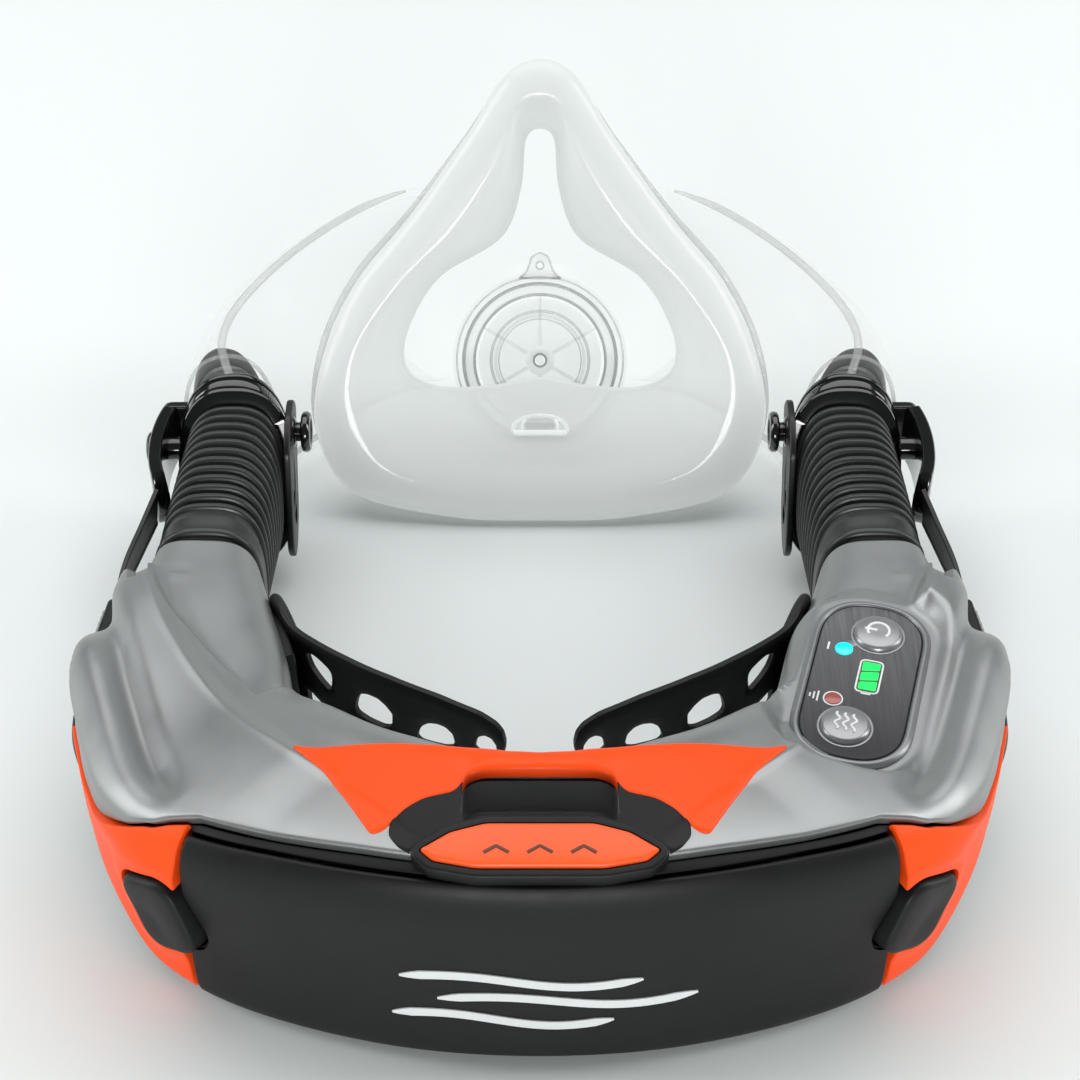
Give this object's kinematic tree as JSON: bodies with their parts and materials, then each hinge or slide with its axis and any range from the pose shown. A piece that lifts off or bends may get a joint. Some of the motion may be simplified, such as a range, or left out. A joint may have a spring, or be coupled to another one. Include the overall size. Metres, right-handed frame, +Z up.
{
  "type": "powered air respirator",
  "caption": "Neck-worn powered air respirator: U-shaped blower unit with rear filter cover and keypad, two bellows hoses, clear half mask with translucent face seal.",
  "frame": {"origin": "middle of the overall footprint, on the surface that the unit and the mask's chin stand on", "axes": "+Y from the back of the neck to the face, +Z up, +X towards the arm with the keypad"},
  "size_m": [0.2206, 0.2529, 0.1149],
  "materials": {
    "grey_shell": "satin, fine moulded grain",
    "black_shell": "satin, fine moulded grain",
    "orange_trim": "satin",
    "badge_orange": "smooth satin",
    "bezel_metal": "satin",
    "panel_dark": "brushed, darkened",
    "button_silver": "satin",
    "lens_cyan": "clear lens",
    "lens_green": "clear lens",
    "lens_red": "clear lens",
    "pad_rubber": "smooth, flexible",
    "hose_rubber": "satin ribbed",
    "strap_web": "smooth band",
    "buckle_black": "gloss with metal ribs",
    "collar_gloss": "gloss",
    "clear_shell": "clear polycarbonate",
    "silicone": "translucent, satin",
    "flap_silicone": "translucent",
    "seal_black": "smooth",
    "battery_wrap": "shrink wrap",
    "board_green": "solder resist",
    "inner_black": "moulded",
    "copper": "wound copper",
    "steel": "machined",
    "impeller_white": "moulded",
    "filter_frame_white": "moulded",
    "filter_paper": "pleated glass-fibre paper"
  },
  "bodies": {
    "housing": {"upper_housing": "grey_shell", "lower_housing": "black_shell", "filter_bay_frame": "black_shell", "side_guard_left": "orange_trim", "side_guard_right": "orange_trim", "top_trim": "orange_trim", "badge_plinth": "black_shell", "keypad_bezel": "bezel_metal", "keypad_panel": "panel_dark", "power_lens": "lens_cyan", "battery_lens": "lens_green", "filter_lens": "lens_red", "pad_anchor_left": "pad_rubber", "pad_anchor_right": "pad_rubber", "neck_pad_left": "pad_rubber", "neck_pad_right": "pad_rubber", "hose_cuff_left": "hose_rubber", "hose_cuff_right": "hose_rubber", "bellows_left": "hose_rubber", "bellows_right": "hose_rubber", "strap_left": "strap_web", "strap_right": "strap_web", "strap_buckle_left": "buckle_black", "strap_buckle_right": "buckle_black", "battery_cells": "battery_wrap", "battery_holder": "inner_black", "main_board": "board_green", "volute_lower": "inner_black", "volute_upper": "inner_black", "motor_stator": "copper", "motor_bearings": "steel", "cross_duct": "inner_black", "charge_socket": "inner_black", "case_screws": "steel", "base_feet": "seal_black"},
    "filter_cover": {"filter_cover": "black_shell", "filter_frame": "filter_frame_white", "filter_media": "filter_paper", "filter_seal": "seal_black"},
    "latch_left": {"cover_latch_left": "black_shell"},
    "latch_right": {"cover_latch_right": "black_shell"},
    "power_button": {"power_button": "button_silver"},
    "test_button": {"test_button": "button_silver"},
    "release_button": {"release_button": "badge_orange"},
    "rotor": {"rotor_shaft": "steel", "impeller": "impeller_white"},
    "mask": {"mask_shell": "clear_shell", "face_seal": "silicone", "hose_collar_left": "collar_gloss", "hose_collar_right": "collar_gloss", "harness_stud_left": "collar_gloss", "harness_stud_right": "collar_gloss", "strap_bracket_left": "buckle_black", "strap_bracket_right": "buckle_black", "port_seals": "seal_black", "exhale_seat": "clear_shell", "exhale_cover": "clear_shell"},
    "exhale_flap": {"exhale_flap": "flap_silicone"}
  },
  "joints": [
    {"name": "mask_tilt", "type": "hinge", "parent": "housing", "child": "mask", "pos_m": [0, 0.0206, 0.0284], "axis": [1, 0, 0], "range_deg": [-10, 25], "stiffness_Nm_per_rad": 0.8, "deforming": ["bellows_left", "bellows_right", "strap_left", "strap_right"]},
    {"name": "exhale_lift", "type": "slide", "parent": "mask", "child": "exhale_flap", "axis": [0, 0.7944, -0.6074], "range_m": [0, 0.0015], "stiffness_N_per_m": 60},
    {"name": "filter_cover_pull", "type": "slide", "parent": "housing", "child": "filter_cover", "axis": [0, -1, 0], "range_m": [0, 0.04]},
    {"name": "latch_left_swing", "type": "hinge", "parent": "housing", "child": "latch_left", "pos_m": [-0.08813, -0.0984, 0.025], "axis": [0, 0, -1], "range_deg": [0, 18], "stiffness_Nm_per_rad": 0.3},
    {"name": "latch_right_swing", "type": "hinge", "parent": "housing", "child": "latch_right", "pos_m": [0.08813, -0.0984, 0.025], "axis": [0, 0, 1], "range_deg": [0, 18], "stiffness_Nm_per_rad": 0.3},
    {"name": "power_press", "type": "slide", "parent": "housing", "child": "power_button", "axis": [0, 0, -1], "range_m": [0, 0.0008], "stiffness_N_per_m": 800},
    {"name": "test_press", "type": "slide", "parent": "housing", "child": "test_button", "axis": [0, 0, -1], "range_m": [0, 0.0008], "stiffness_N_per_m": 800},
    {"name": "release_press", "type": "slide", "parent": "housing", "child": "release_button", "axis": [0, 0.2419, -0.9703], "range_m": [0, 0.0015], "stiffness_N_per_m": 600},
    {"name": "impeller_spin", "type": "hinge", "parent": "housing", "child": "rotor", "pos_m": [-0.068, -0.0824, 0.018], "axis": [0, 0, 1], "continuous": true}
  ]
}
